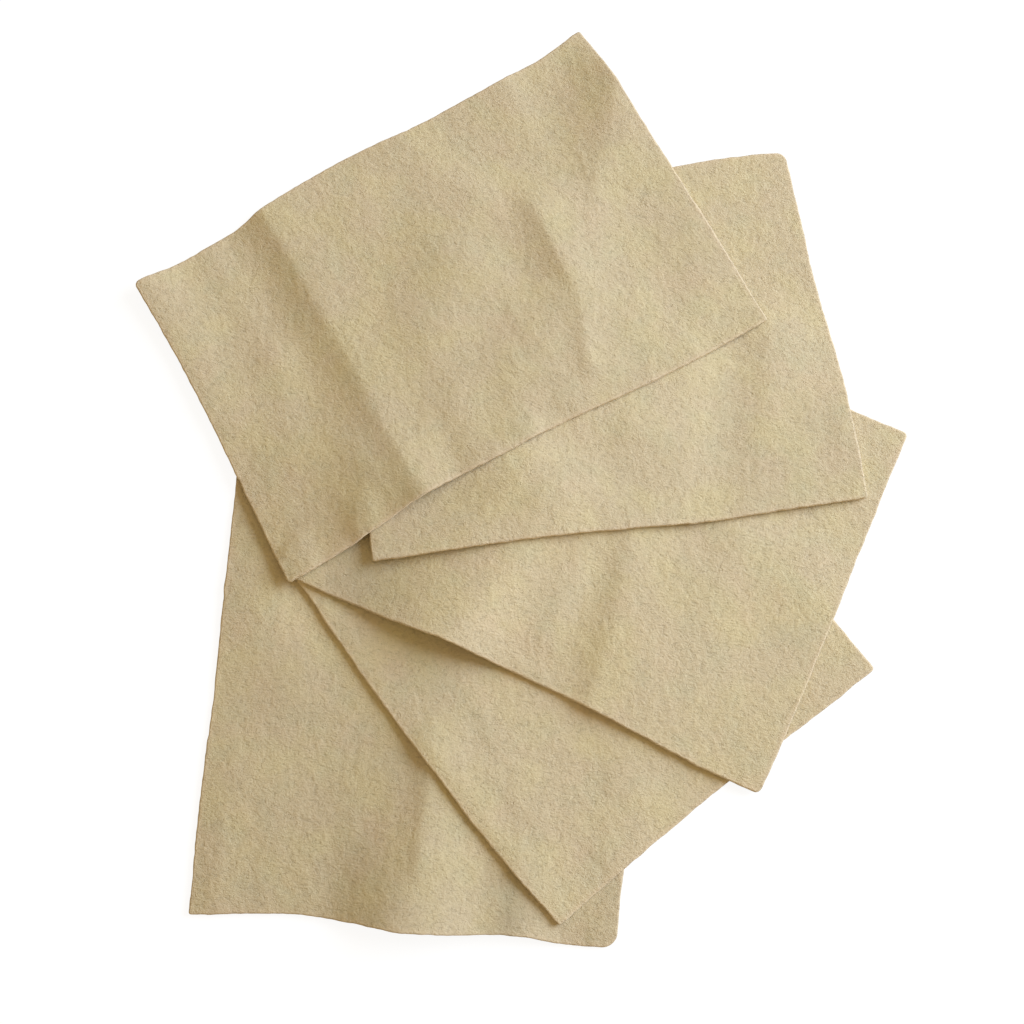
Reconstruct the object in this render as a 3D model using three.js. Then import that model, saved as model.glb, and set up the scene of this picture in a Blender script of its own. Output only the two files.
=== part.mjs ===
// Five loose leaves of chamois leather, laid on each other in an open fan.
// Millimetres, +Z up, +Y away from the viewer. The lowest leaf lies on the table at Z = 0.
import * as THREE from "three";

// Cut sizes of the leaves, the lowest first
const bottomLength = 149;
const bottomWidth = 116;
const lowerLength = 131;
const lowerWidth = 112.8;
const middleLength = 145.2;
const middleWidth = 113.5;
const upperLength = 143.5;
const upperWidth = 111;
const topLength = 160.6;
const topWidth = 107;

// Leather, its cut and its folds
const leatherThickness = 1.0;
const edgeStray = 2; // how far a side strays from a straight line where it strays much
const cornerRadius = 1;
const foldRise = 2; // height of a common fold
const foldSlope = 10; // from its crest to where it has died away on one side

// Lay of the fan
const gatherReach = 50; // the gathered corners lie about this far from each other
const layGap = 0.3; // left between one leaf and the next, and between the upper leaves and the table
const flatDepth = 0.5; // taken off the underside of the lowest leaf where it lies on the table
const sag = 0.05; // how far a free stretch drops in one settling pass: more sag, tighter drape
const supportSpacing = 1.0; // between the points where a leaf feels what lies under it
const settlePasses = 160;
const clearPasses = 60;

// Mesh of a leaf: narrow cells along each side, even cells between
const cellsAlong = 24;
const cellsAcross = 16;
const edgeBand = 3.6;
const bandShares = [0, 0.35]; // where the narrow cells start, from the side inwards

// Each leaf as it was cut and laid, the lowest first. Its own frame starts at the corner that is
// gathered at the fan's pivot, x along its length and y across its width; turn is in degrees.
// gatheredShares: where that corner lies from the top leaf's one, in gather reaches.
// cornerShares: the four corners, anticlockwise from the gathered one, in lengths and widths.
// strayShares: how far each side strays outwards, at even steps along it, in edge strays.
// radiusShares: rounding of the four corners, in corner radii.
// folds: a crest from one place to another in lengths and widths, its height at both ends in fold
// rises, and the width of its slopes on its left and on its right in fold slopes.
const leaves = [
  {
    name: "leaf_1_bottom",
    colour: 0xbcac89,
    length: bottomLength,
    width: bottomWidth,
    gatheredShares: [-0.272, 1.178],
    turn: -93.9,
    cornerShares: [[0, 0], [1, 0], [1.01, 0.994], [0, 1.007]],
    strayShares: {
      near: [0.5, 0.7, 0.5, 0.35, 0.45, 0.2],
      end: [0.25, -0.45, -0.95, -0.5, 0.2, 0, -0.55, 0, 0],
      far: [0, 0.4, 0.7, 0.7, 0],
      start: [0, 0],
    },
    radiusShares: [2, 0.8, 4.2, 1],
    folds: [
      { fromShares: [0.72, 0.55], toShares: [1.02, 0.5], riseShares: [0.4, 3.7], slopeShares: [2, 1.8] },
      { fromShares: [0.92, 0.82], toShares: [1.02, 0.83], riseShares: [0.4, 1.2], slopeShares: [1.2, 0.8] },
      { fromShares: [0.4, 0.22], toShares: [0.56, 0.28], riseShares: [0.5, 0.5], slopeShares: [1.4, 1.4] },
      { fromShares: [0.78, 0.08], toShares: [0.98, 0.08], riseShares: [0.3, 0.5], slopeShares: [2, 0.8] },
    ],
  },
  {
    name: "leaf_2_lower",
    colour: 0xc5b490,
    length: lowerLength,
    width: lowerWidth,
    gatheredShares: [-0.096, 0.206],
    turn: -52.1,
    cornerShares: [[0, 0], [1, 0], [1, 1], [0, 1]],
    strayShares: {
      near: [0, 0.15, 0.55, 0.85, 1, 0.925, 0.925, 0.55, 0],
      end: [0, -0.35, -0.5, -0.05, 0.2],
      far: [0, 0, 0, 0.25, 0.2],
      start: [0, 0],
    },
    radiusShares: [1, 0.6, 1, 1],
    folds: [
      { fromShares: [0.5, -0.02], toShares: [0.54, 0.16], riseShares: [0.9, 0.25], slopeShares: [1.4, 1] },
      { fromShares: [0.82, -0.02], toShares: [0.84, 0.16], riseShares: [0.9, 0.25], slopeShares: [1.2, 1] },
      { fromShares: [0.63, 0.4], toShares: [0.79, 0.62], riseShares: [0.4, 0.5], slopeShares: [1.6, 1.6] },
      { fromShares: [0.08, 0], toShares: [0.92, 0], riseShares: [0.6, 0.6], slopeShares: [1.4, 1.4] },
    ],
  },
  {
    name: "leaf_3_middle",
    colour: 0xcbba99,
    length: middleLength,
    width: middleWidth,
    gatheredShares: [-0.002, 0.024],
    turn: -24.3,
    cornerShares: [[0, 0], [1, 0], [0.995, 1.006], [0, 1]],
    strayShares: {
      near: [0, -0.25, -0.7, -1.2, -1.15, -1, -0.45, 0.1, 0],
      end: [-0.3, 0.1, 0.2, 0.35, 0.45],
      far: [0, 0],
      start: [0, 0],
    },
    radiusShares: [1, 1.8, 1.4, 1],
    folds: [
      { fromShares: [0.2, -0.03], toShares: [0.26, 0.3], riseShares: [1.5, 0.5], slopeShares: [1.4, 1.2] },
      { fromShares: [0.34, -0.03], toShares: [0.37, 0.34], riseShares: [2.5, 0.9], slopeShares: [1.8, 1.6] },
      { fromShares: [0.62, -0.02], toShares: [0.58, 0.46], riseShares: [0.9, 0.9], slopeShares: [0.8, 1.2] },
      { fromShares: [0.8, 0.02], toShares: [0.775, 0.55], riseShares: [0.5, 0.5], slopeShares: [1.1, 1.4] },
      { fromShares: [0.12, 0], toShares: [0.42, 0], riseShares: [0.3, 0.4], slopeShares: [1.4, 1.4] },
    ],
  },
  {
    name: "leaf_4_upper",
    colour: 0xcfbe9a,
    length: upperLength,
    width: upperWidth,
    gatheredShares: [0.476, 0.12],
    turn: 7.9,
    cornerShares: [[0, 0], [1, 0], [0.983, 1.003], [-0.003, 0.995]],
    strayShares: {
      near: [0, 0, 0, 0.25, 0.6, 0.25, 0],
      end: [0, 0.25, 0.4, 0.4, -0.05, -0.35, -0.35, -0.4, -0.45],
      far: [0, 0, 0, 0, 0, 0.1, 0.25, 0.55, 0.25],
      start: [0, 0],
    },
    radiusShares: [0.6, 0.6, 3, 1],
    folds: [
      { fromShares: [0, 0.125], toShares: [0.34, 0.215], riseShares: [0.8, 0.5], slopeShares: [1, 0.9] },
      { fromShares: [0.35, -0.05], toShares: [0.42, 0.3], riseShares: [0.7, 0.7], slopeShares: [3, 1.3] },
      { fromShares: [0.6, -0.02], toShares: [0.68, 0.4], riseShares: [0.5, 0.5], slopeShares: [1.1, 1.3] },
      { fromShares: [0.775, 0.02], toShares: [0.875, 0.46], riseShares: [0.6, 0.9], slopeShares: [1, 1.5] },
    ],
  },
  {
    name: "leaf_5_top",
    colour: 0xc6b694,
    length: topLength,
    width: topWidth,
    gatheredShares: [0, 0],
    turn: 29.9,
    cornerShares: [[0, 0], [1, 0], [1, 1.042], [0.021, 0.964]],
    strayShares: {
      near: [0, -0.25, -1.05, -0.95, -0.8, -0.1, 0.15, 0],
      end: [0, 0.25, 0.5, 0.7, 0.85, 0.9, 0.95, 0.9, 0.7],
      far: [0.5, 0.05, 0.25, 1, 1.35, 1.15, 0.35, -0.05, -0.25, -0.45, 0.45],
      start: [0, -0.1, -0.35, -0.2, 0.4],
    },
    radiusShares: [1.4, 0.6, 0.8, 1.6],
    folds: [
      { fromShares: [0.285, -0.02], toShares: [0.275, 1.02], riseShares: [1, 1.5], slopeShares: [1, 2.6] },
      { fromShares: [0.14, 0.04], toShares: [0.17, 0.28], riseShares: [0.6, 0.5], slopeShares: [1.8, 0.9] },
      { fromShares: [-0.02, 0.3], toShares: [-0.02, 1.02], riseShares: [0.6, 1.6], slopeShares: [2.6, 2.6] },
      { fromShares: [0.155, 0.6], toShares: [0.155, 1.02], riseShares: [0.3, 0.6], slopeShares: [0.8, 0.7] },
      { fromShares: [0.47, 0.42], toShares: [0.54, 0.74], riseShares: [0.6, 0.5], slopeShares: [1.5, 0.9] },
      { fromShares: [0.51, -0.02], toShares: [0.55, 0.34], riseShares: [0.5, 0.5], slopeShares: [0.8, 0.8] },
      { fromShares: [0.68, 0.1], toShares: [0.735, 0.67], riseShares: [0.5, 1.1], slopeShares: [0.9, 1.7] },
      { fromShares: [0.86, 0.58], toShares: [1.02, 0.82], riseShares: [0.6, 2.5], slopeShares: [1.7, 3] },
      { fromShares: [0, 0.04], toShares: [0.02, 0.44], riseShares: [1.2, 0.8], slopeShares: [1.4, 1.4] },
      { fromShares: [0.02, 0.6], toShares: [0.22, 0.62], riseShares: [0.6, 0.5], slopeShares: [1.3, 1.4] },
    ],
  },
];

// How far a side strays at a share of the way along it: a smooth curve through its even steps.
function stray(steps, share) {
  const curve = new THREE.SplineCurve(steps.map((step, index) => new THREE.Vector2(index, step)));
  return curve.getPoint(share).y * edgeStray;
}

// Stations of the mesh from one side of a leaf to the other.
function stations(size, cells) {
  const narrow = bandShares.map((share) => share * edgeBand);
  const evenCells = cells - 2 * narrow.length;
  const result = [...narrow];
  for (let i = 0; i <= evenCells; i += 1) {
    result.push(edgeBand + ((size - 2 * edgeBand) * i) / evenCells);
  }
  for (const inset of narrow.reverse()) result.push(size - inset);
  return result;
}

// A point near a square corner, moved onto the rounded one. Squares round the corner's centre
// become quarter circles of the same size, so the border lands on the arc.
function roundedCorner(x, y, length, width, radiusShares) {
  const atEnd = x > length / 2;
  const atFar = y > width / 2;
  const radius = radiusShares[atFar ? (atEnd ? 2 : 3) : atEnd ? 1 : 0] * cornerRadius;
  const fromSide = atEnd ? length - x : x;
  const fromEdge = atFar ? width - y : y;
  if (fromSide >= radius || fromEdge >= radius) return [x, y];
  const outX = radius - fromSide;
  const outY = radius - fromEdge;
  const shrink = Math.max(outX, outY) / Math.hypot(outX, outY);
  const newSide = radius - outX * shrink;
  const newEdge = radius - outY * shrink;
  return [atEnd ? length - newSide : newSide, atFar ? width - newEdge : newEdge];
}

// Where a point of the flat rectangle lies once the leaf is cut, turned and laid in the fan.
function laidPlace(leaf, x, y) {
  const [roundX, roundY] = roundedCorner(x, y, leaf.length, leaf.width, leaf.radiusShares);
  const u = roundX / leaf.length;
  const v = roundY / leaf.width;
  const [gathered, endNear, endFar, startFar] = leaf.cornerShares;
  const between = (axis) => {
    const nearSide = THREE.MathUtils.lerp(gathered[axis], endNear[axis], u);
    const farSide = THREE.MathUtils.lerp(startFar[axis], endFar[axis], u);
    return THREE.MathUtils.lerp(nearSide, farSide, v);
  };
  const { near, end, far, start } = leaf.strayShares;
  const strayX = stray(end, v) * u - stray(start, v) * (1 - u);
  const strayY = stray(far, u) * v - stray(near, u) * (1 - v);
  const flatX = between(0) * leaf.length + strayX;
  const flatY = between(1) * leaf.width + strayY;
  const turn = THREE.MathUtils.degToRad(leaf.turn);
  return [
    leaf.gatheredShares[0] * gatherReach + flatX * Math.cos(turn) - flatY * Math.sin(turn),
    leaf.gatheredShares[1] * gatherReach + flatX * Math.sin(turn) + flatY * Math.cos(turn),
  ];
}

// Height of the folds at a point of the flat leaf. Each is a smooth ridge: a bell across its
// crest, of its own width on each side, that fades out past both ends.
function foldHeight(leaf, x, y) {
  let height = 0;
  for (const fold of leaf.folds) {
    const startX = fold.fromShares[0] * leaf.length;
    const startY = fold.fromShares[1] * leaf.width;
    const wayX = fold.toShares[0] * leaf.length - startX;
    const wayY = fold.toShares[1] * leaf.width - startY;
    const reach = Math.hypot(wayX, wayY);
    const ahead = ((x - startX) * wayX + (y - startY) * wayY) / reach;
    const left = ((y - startY) * wayX - (x - startX) * wayY) / reach;
    const past = Math.max(-ahead, ahead - reach, 0);
    const [leftSlope, rightSlope] = fold.slopeShares.map((share) => share * foldSlope);
    const across = left / (left > 0 ? leftSlope : rightSlope);
    const fade = past / ((leftSlope + rightSlope) / 2);
    const share = THREE.MathUtils.clamp(ahead / reach, 0, 1);
    const crest = foldRise * THREE.MathUtils.lerp(fold.riseShares[0], fold.riseShares[1], share);
    height += crest * Math.exp(-across * across - fade * fade);
  }
  return height;
}

// The grid of a leaf: its points, the height of its folds there, and its triangles.
function leafGrid(leaf) {
  const points = [];
  for (const y of stations(leaf.width, cellsAcross)) {
    for (const x of stations(leaf.length, cellsAlong)) {
      const [placeX, placeY] = laidPlace(leaf, x, y);
      points.push({ x: placeX, y: placeY, fold: foldHeight(leaf, x, y), z: 0 });
    }
  }
  const row = cellsAlong + 1;
  const triangles = [];
  for (let j = 0; j < cellsAcross; j += 1) {
    for (let i = 0; i < cellsAlong; i += 1) {
      const corner = j * row + i;
      triangles.push([corner, corner + 1, corner + row + 1], [corner, corner + row + 1, corner + row]);
    }
  }
  return { points, triangles, row };
}

// The first and the last raster number between the lowest and the highest of some places.
function rasterSpan(places) {
  const first = Math.ceil(Math.min(...places) / supportSpacing);
  const last = Math.floor(Math.max(...places) / supportSpacing);
  return [first, last];
}

// Calls visit(column, line, weights) for each point of the raster that lies in a triangle.
function eachRasterPoint(points, triangle, visit) {
  const [a, b, c] = triangle.map((index) => points[index]);
  const area = (b.x - a.x) * (c.y - a.y) - (c.x - a.x) * (b.y - a.y);
  const [firstColumn, lastColumn] = rasterSpan([a.x, b.x, c.x]);
  const [firstLine, lastLine] = rasterSpan([a.y, b.y, c.y]);
  for (let line = firstLine; line <= lastLine; line += 1) {
    for (let column = firstColumn; column <= lastColumn; column += 1) {
      const x = column * supportSpacing;
      const y = line * supportSpacing;
      const weightB = ((x - a.x) * (c.y - a.y) - (c.x - a.x) * (y - a.y)) / area;
      const weightC = ((b.x - a.x) * (y - a.y) - (x - a.x) * (b.y - a.y)) / area;
      const weightA = 1 - weightB - weightC;
      if (weightA >= 0 && weightB >= 0 && weightC >= 0) visit(column, line, [weightA, weightB, weightC]);
    }
  }
}

// The pile so far: the highest top face over each point of an even raster on the table.
class Pile {
  constructor() {
    this.tops = new Map();
  }

  add(grid) {
    for (const triangle of grid.triangles) {
      const corners = triangle.map((index) => grid.points[index]);
      eachRasterPoint(grid.points, triangle, (column, line, weights) => {
        const top = weights.reduce((sum, weight, k) => sum + weight * corners[k].z, leatherThickness);
        const key = `${column},${line}`;
        this.tops.set(key, Math.max(this.tops.get(key) ?? 0, top));
      });
    }
  }

  // The highest top within one spacing, so that no edge between two raster points is missed.
  under(column, line) {
    let highest = 0;
    for (let j = line - 1; j <= line + 1; j += 1) {
      for (let i = column - 1; i <= column + 1; i += 1) {
        highest = Math.max(highest, this.tops.get(`${i},${j}`) ?? 0);
      }
    }
    return highest;
  }
}

// What keeps a leaf up: for each raster point under it, the triangle there and the lowest height.
function supportsUnder(grid, pile, clearance) {
  const supports = [];
  for (const triangle of grid.triangles) {
    eachRasterPoint(grid.points, triangle, (column, line, weights) => {
      supports.push({ triangle, weights, floor: pile.under(column, line) + clearance });
    });
  }
  return supports;
}

// Lifts each triangle that is too low at a support, its nearer corners most.
function liftClear(points, supports) {
  let worst = 0;
  for (const { triangle, weights, floor } of supports) {
    const height = weights.reduce((sum, weight, k) => sum + weight * points[triangle[k]].z, 0);
    const missing = floor - height;
    if (missing <= 0) continue;
    worst = Math.max(worst, missing);
    const spread = weights.reduce((sum, weight) => sum + weight * weight, 0);
    triangle.forEach((index, k) => {
      points[index].z += (missing * weights[k]) / spread;
    });
  }
  return worst;
}

// Mean height of the lie, without the folds, of a point's neighbours on the grid.
function neighbourLie(grid, index) {
  const column = index % grid.row;
  const line = Math.floor(index / grid.row);
  const near = [];
  if (column > 0) near.push(index - 1);
  if (column < cellsAlong) near.push(index + 1);
  if (line > 0) near.push(index - grid.row);
  if (line < cellsAcross) near.push(index + grid.row);
  return near.reduce((sum, other) => sum + grid.points[other].z - grid.points[other].fold, 0) / near.length;
}

// Lets a leaf down on the pile. In each pass every point moves to the mean of its neighbours,
// drops by the sag, keeps its fold, and is then lifted clear of what lies under it.
function settle(grid, supports) {
  const points = grid.points;
  for (const point of points) point.z = point.fold + supports[0].floor;
  for (let pass = 0; pass < settlePasses; pass += 1) {
    const lies = points.map((point, index) => neighbourLie(grid, index) - sag);
    points.forEach((point, index) => {
      point.z = lies[index] + point.fold;
    });
    liftClear(points, supports);
  }
  for (let pass = 0; pass < clearPasses; pass += 1) liftClear(points, supports);
}

// A closed body: the underside at the grid's heights, the top face one thickness above it, and a
// wall round the border.
function leafGeometry(grid) {
  const positions = [];
  for (const rise of [leatherThickness, 0]) {
    for (const point of grid.points) positions.push(point.x, point.y, point.z + rise);
  }
  const below = grid.points.length;
  const faces = [];
  for (const [a, b, c] of grid.triangles) faces.push(a, b, c, below + a, below + c, below + b);
  for (const [a, b] of borderSteps(grid)) faces.push(a, below + a, below + b, a, below + b, b);
  const geometry = new THREE.BufferGeometry();
  geometry.setAttribute("position", new THREE.Float32BufferAttribute(positions, 3));
  geometry.setIndex(faces);
  geometry.computeVertexNormals();
  return geometry;
}

// The pairs of neighbouring points round the border, anticlockwise seen from above.
function borderSteps(grid) {
  const corner = cellsAcross * grid.row;
  const steps = [];
  for (let i = 0; i < cellsAlong; i += 1) {
    steps.push([i, i + 1], [corner + i + 1, corner + i]);
  }
  for (let j = 0; j < cellsAcross; j += 1) {
    const first = j * grid.row;
    steps.push([first + cellsAlong, first + grid.row + cellsAlong], [first + grid.row, first]);
  }
  return steps;
}

// The lowest leaf is pressed flat on the table: its underside is lowered by the flat depth and cut
// off at the table.
function pressFlat(grid) {
  for (const point of grid.points) point.z = Math.max(point.z - flatDepth, 0);
}

const pile = new Pile();
const fan = new THREE.Group();
leaves.forEach((leaf, order) => {
  const grid = leafGrid(leaf);
  const onTable = order === 0;
  settle(grid, supportsUnder(grid, pile, onTable ? 0 : layGap));
  if (onTable) pressFlat(grid);
  pile.add(grid);
  const leather = new THREE.MeshStandardMaterial({ color: leaf.colour, roughness: 0.96, metalness: 0 });
  const mesh = new THREE.Mesh(leafGeometry(grid), leather);
  mesh.name = leaf.name;
  fan.add(mesh);
});

// The origin is on the table, under the middle of the fan.
const extent = new THREE.Box3().setFromObject(fan);
const middle = extent.getCenter(new THREE.Vector3());
fan.position.set(-middle.x, -middle.y, -extent.min.z);

const part = new THREE.Group();
part.add(fan);
export default part;
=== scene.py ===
import math

import bpy
import numpy as np
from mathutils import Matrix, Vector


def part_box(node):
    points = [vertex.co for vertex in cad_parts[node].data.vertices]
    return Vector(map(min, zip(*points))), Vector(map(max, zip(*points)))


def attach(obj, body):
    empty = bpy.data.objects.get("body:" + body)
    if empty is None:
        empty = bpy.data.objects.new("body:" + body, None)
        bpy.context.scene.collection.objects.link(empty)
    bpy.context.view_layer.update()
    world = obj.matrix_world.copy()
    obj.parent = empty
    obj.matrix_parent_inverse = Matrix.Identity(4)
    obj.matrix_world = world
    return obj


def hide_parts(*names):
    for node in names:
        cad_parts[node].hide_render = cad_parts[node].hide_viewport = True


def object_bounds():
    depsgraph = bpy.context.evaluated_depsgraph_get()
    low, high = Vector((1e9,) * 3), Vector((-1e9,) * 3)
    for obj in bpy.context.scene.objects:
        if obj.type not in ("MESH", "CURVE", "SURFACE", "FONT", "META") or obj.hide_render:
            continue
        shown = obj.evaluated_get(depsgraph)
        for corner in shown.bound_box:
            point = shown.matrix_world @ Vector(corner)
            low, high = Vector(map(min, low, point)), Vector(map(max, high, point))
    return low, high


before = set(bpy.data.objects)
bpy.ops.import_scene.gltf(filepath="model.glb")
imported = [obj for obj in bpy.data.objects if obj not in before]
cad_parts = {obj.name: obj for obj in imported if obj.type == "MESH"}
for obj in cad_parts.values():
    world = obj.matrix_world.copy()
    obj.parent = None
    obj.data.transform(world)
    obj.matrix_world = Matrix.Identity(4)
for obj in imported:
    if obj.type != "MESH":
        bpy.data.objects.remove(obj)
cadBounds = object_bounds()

mm = 0.001
print("frame loaded:", sorted(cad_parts))

# Chamois leather, the same for every leaf. Lengths are in metres.
leather = dict(
    thickness=1.0 * mm,
    edgeBand=2.2 * mm,  # how far in from the cut the colour changes
    cell=0.47 * mm,  # spacing of the top face's grid
    undersideStep=3,  # the underside has one cell for so many of the top face
    lieCell=2.4 * mm,  # spacing at which the lie is read off the solid
    lieReach=4.4 * mm,  # width of the smoothing that takes the solid's facets away
    gap=0.12 * mm,  # kept between a leaf and what lies under it
    pileCell=0.75 * mm,  # spacing at which the highest tops of the pile are kept
    liftSpread=3.0 * mm,  # how far round a place that is too low the leaf is lifted with it
    # sizes and heights of the waves of each kind of noise
    unevenness=[(26 * mm, 0.10 * mm), (11 * mm, 0.035 * mm), (5 * mm, 0.012 * mm)],
    nap=[(1.7 * mm, 0.022 * mm), (1.0 * mm, 0.045 * mm)],
    napStretch=1.35,  # the nap's grains are longer along the way it was brushed
    ragged=[(6.5 * mm, 0.09 * mm), (2.3 * mm, 0.07 * mm), (1.1 * mm, 0.06 * mm)],
    raggedReach=3.0 * mm,  # how far in from the cut the raggedness fades away
    bulge=0.05 * mm,  # the cut edge stands out halfway down
)

# Numbers of the calculations below.
method = dict(
    noiseGain=2.2,  # brings the mean of sixteen numbers back to about -1 to 1
    seedSteps=dict(unevenness=10, nap=20, ragged=40),  # each leaf has its own noise of each kind
    seedsPerMetre=1e5,
    leastUp=0.5,  # a triangle looks up when its normal rises by more than this share
    decimals=7,  # points of a solid that agree to these decimals of a metre are one
    turnBackPasses=8,
    peakRound=0.3,  # how round the top of a crisp crease is
    peakSteep=2.4,  # how fast its slopes fall
    steadying=1e-9,  # keeps a fit through few points solvable
    tiny=1e-12,
)


# Smooth noise on scattered places, about -1 to 1: random numbers on a square lattice, each place
# taking the mean of its sixteen nearest ones with cubic weights. The lattice starts one number
# before the first place and ends a few past the last.
def softNoise(x, y, size, seed):
    spanX = int(np.ceil((x.max() - x.min()) / size)) + 5
    spanY = int(np.ceil((y.max() - y.min()) / size)) + 5
    lattice = np.random.default_rng(seed).uniform(-1, 1, (spanY, spanX))
    atX = (x - x.min()) / size + 1
    atY = (y - y.min()) / size + 1
    firstX, firstY = np.floor(atX).astype(int), np.floor(atY).astype(int)
    weightsX, weightsY = cubicWeights(atX - firstX), cubicWeights(atY - firstY)
    total = np.zeros_like(x)
    for j in range(4):
        for i in range(4):
            total += weightsY[j] * weightsX[i] * lattice[firstY + j - 1, firstX + i - 1]
    return total * method["noiseGain"]


# The seed of one noise of a leaf: its kind and its number within the kind.
def seedOf(leaf, kind, number):
    return leaf["seed"] * method["seedSteps"][kind] + number


# The four weights of a uniform cubic spline at a share of the way from one knot to the next.
def cubicWeights(share):
    rest = 1 - share
    return [
        rest**3 / 6,
        (3 * share**3 - 6 * share**2 + 4) / 6,
        (3 * rest**3 - 6 * rest**2 + 4) / 6,
        share**3 / 6,
    ]


# How far a side strays outwards at shares of the way along it: a smooth curve through even steps,
# whose slope at a step is half the difference between its two neighbours.
def strayAlong(steps, share):
    steps = np.asarray(steps, float)
    last = len(steps) - 1
    at = np.clip(share, 0, 1) * last
    first = np.minimum(np.floor(at).astype(int), last)
    part = at - first
    before, here = steps[np.maximum(first - 1, 0)], steps[first]
    after, later = steps[np.minimum(first + 1, last)], steps[np.minimum(first + 2, last)]
    slopeHere, slopeAfter = (after - before) / 2, (later - here) / 2
    cubic = 2 * here - 2 * after + slopeHere + slopeAfter
    square = 3 * after - 3 * here - 2 * slopeHere - slopeAfter
    return cubic * part**3 + square * part**2 + slopeHere * part + here


# Places near the four square corners, moved onto rounded ones: squares round a corner's centre
# become quarter circles of the same size.
def roundCorners(leaf, x, y):
    length, width = leaf["length"], leaf["width"]
    atEnd, atFar = x > length / 2, y > width / 2
    nearStart, nearEnd, farEnd, farStart = leaf["radii"]
    radius = np.where(atFar, np.where(atEnd, farEnd, farStart), np.where(atEnd, nearEnd, nearStart))
    outX = radius - np.where(atEnd, length - x, x)
    outY = radius - np.where(atFar, width - y, y)
    cut = (outX > 0) & (outY > 0)
    reach = np.where(cut, np.hypot(outX, outY), 1)
    shrink = np.where(cut, np.maximum(outX, outY) / reach, 1)
    x = x + np.where(atEnd, -1, 1) * np.where(cut, outX * (1 - shrink), 0)
    y = y + np.where(atFar, -1, 1) * np.where(cut, outY * (1 - shrink), 0)
    return x, y


# Where places of the flat rectangle lie in the fan: corners rounded, the four corners moved to
# their own places with the rest in between, each side strayed, then the whole turned.
def planPlaces(leaf, x, y, ragged):
    length, width = leaf["length"], leaf["width"]
    x, y = roundCorners(leaf, x, y)
    u, v = x / length, y / width
    gathered, endNear, endFar, startFar = np.asarray(leaf["cornerShares"], float)
    strays = leaf["strays"]
    strayX = strayAlong(strays["end"], v) * u - strayAlong(strays["start"], v) * (1 - u)
    strayY = strayAlong(strays["far"], u) * v - strayAlong(strays["near"], u) * (1 - v)
    across = [
        (gathered[k] * (1 - u) + endNear[k] * u) * (1 - v) + (startFar[k] * (1 - u) + endFar[k] * u) * v
        for k in range(2)
    ]
    flatX, flatY = across[0] * length + strayX, across[1] * width + strayY
    if ragged:
        raggedX, raggedY = raggedPush(leaf, x, y)
        flatX, flatY = flatX + raggedX, flatY + raggedY
    turn = math.radians(leaf["turn"])
    return flatX * math.cos(turn) - flatY * math.sin(turn), flatX * math.sin(turn) + flatY * math.cos(turn)


# The small push in and out of the cut edge: noise along each side, fading inwards.
def raggedPush(leaf, x, y):
    pushX, pushY = np.zeros_like(x), np.zeros_like(y)
    sides = [
        (leaf["length"] - x, y, 1, 0),
        (x, y, -1, 0),
        (leaf["width"] - y, x, 0, 1),
        (y, x, 0, -1),
    ]
    for number, (inward, along, outX, outY) in enumerate(sides):
        fade = np.clip(1 - inward / leather["raggedReach"], 0, 1) ** 2
        push = np.zeros_like(x)
        for size, height in leather["ragged"]:
            seed = seedOf(leaf, "ragged", number) + int(size * method["seedsPerMetre"])
            push += height * softNoise(along, np.zeros_like(along), size, seed)
        pushX += outX * push * fade
        pushY += outY * push * fade
    return pushX, pushY


# The points of a solid's top face: the corners of its triangles that look up, each one once.
def topPoints(node):
    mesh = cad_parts[node].data
    mesh.calc_loop_triangles()
    points = np.empty(len(mesh.vertices) * 3)
    mesh.vertices.foreach_get("co", points)
    points = points.reshape(-1, 3)
    corners = np.empty(len(mesh.loop_triangles) * 3, int)
    mesh.loop_triangles.foreach_get("vertices", corners)
    corners = corners.reshape(-1, 3)
    a, b, c = points[corners[:, 0]], points[corners[:, 1]], points[corners[:, 2]]
    facing = np.cross(b - a, c - a)
    up = facing[:, 2] > method["leastUp"] * np.linalg.norm(facing, axis=1)
    return np.unique(points[corners[up].ravel()].round(method["decimals"]), axis=0)


# The places on the flat leaf that lie at given places of the plan: turned back, and then moved by
# what is still missing until nothing is.
def flatPlaces(leaf, planX, planY):
    turn = math.radians(leaf["turn"])
    x = planX * math.cos(turn) + planY * math.sin(turn)
    y = planY * math.cos(turn) - planX * math.sin(turn)
    for _ in range(method["turnBackPasses"]):
        laidX, laidY = planPlaces(leaf, x, y, False)
        missingX, missingY = planX - laidX, planY - laidY
        x = x + missingX * math.cos(turn) + missingY * math.sin(turn)
        y = y + missingY * math.cos(turn) - missingX * math.sin(turn)
        x, y = np.clip(x, 0, leaf["length"]), np.clip(y, 0, leaf["width"])
    return x, y


# The height of a solid's top face at places of the plan, without its folds and its facets: at each
# place the plane-and-bowl that fits the face's points best, the nearer ones counting more.
def lieOfSolid(leaf, x, y, shift):
    points = topPoints(leaf["node"])
    flatX, flatY = flatPlaces(leaf, points[:, 0] - shift[0], points[:, 1] - shift[1])
    folds = creaseHeight(leaf, leaf["solidFolds"], flatX, flatY)
    points[:, 2] -= np.maximum(folds - leaf["pressed"], 0)
    offX = points[:, 0] - x.reshape(-1, 1)
    offY = points[:, 1] - y.reshape(-1, 1)
    weight = np.exp(-(offX**2 + offY**2) / (2 * leather["lieReach"] ** 2)) + method["tiny"]
    offX, offY = offX / leather["lieReach"], offY / leather["lieReach"]
    terms = np.stack([np.ones_like(offX), offX, offY, offX**2, offX * offY, offY**2], axis=-1)
    weighted = terms * weight[..., None]
    left = np.einsum("qpi,qpj->qij", weighted, terms)
    right = np.einsum("qpi,p->qi", weighted, points[:, 2])
    left += method["steadying"] * np.eye(terms.shape[-1])
    return np.linalg.solve(left, right[..., None])[:, 0, 0].reshape(x.shape)


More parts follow.
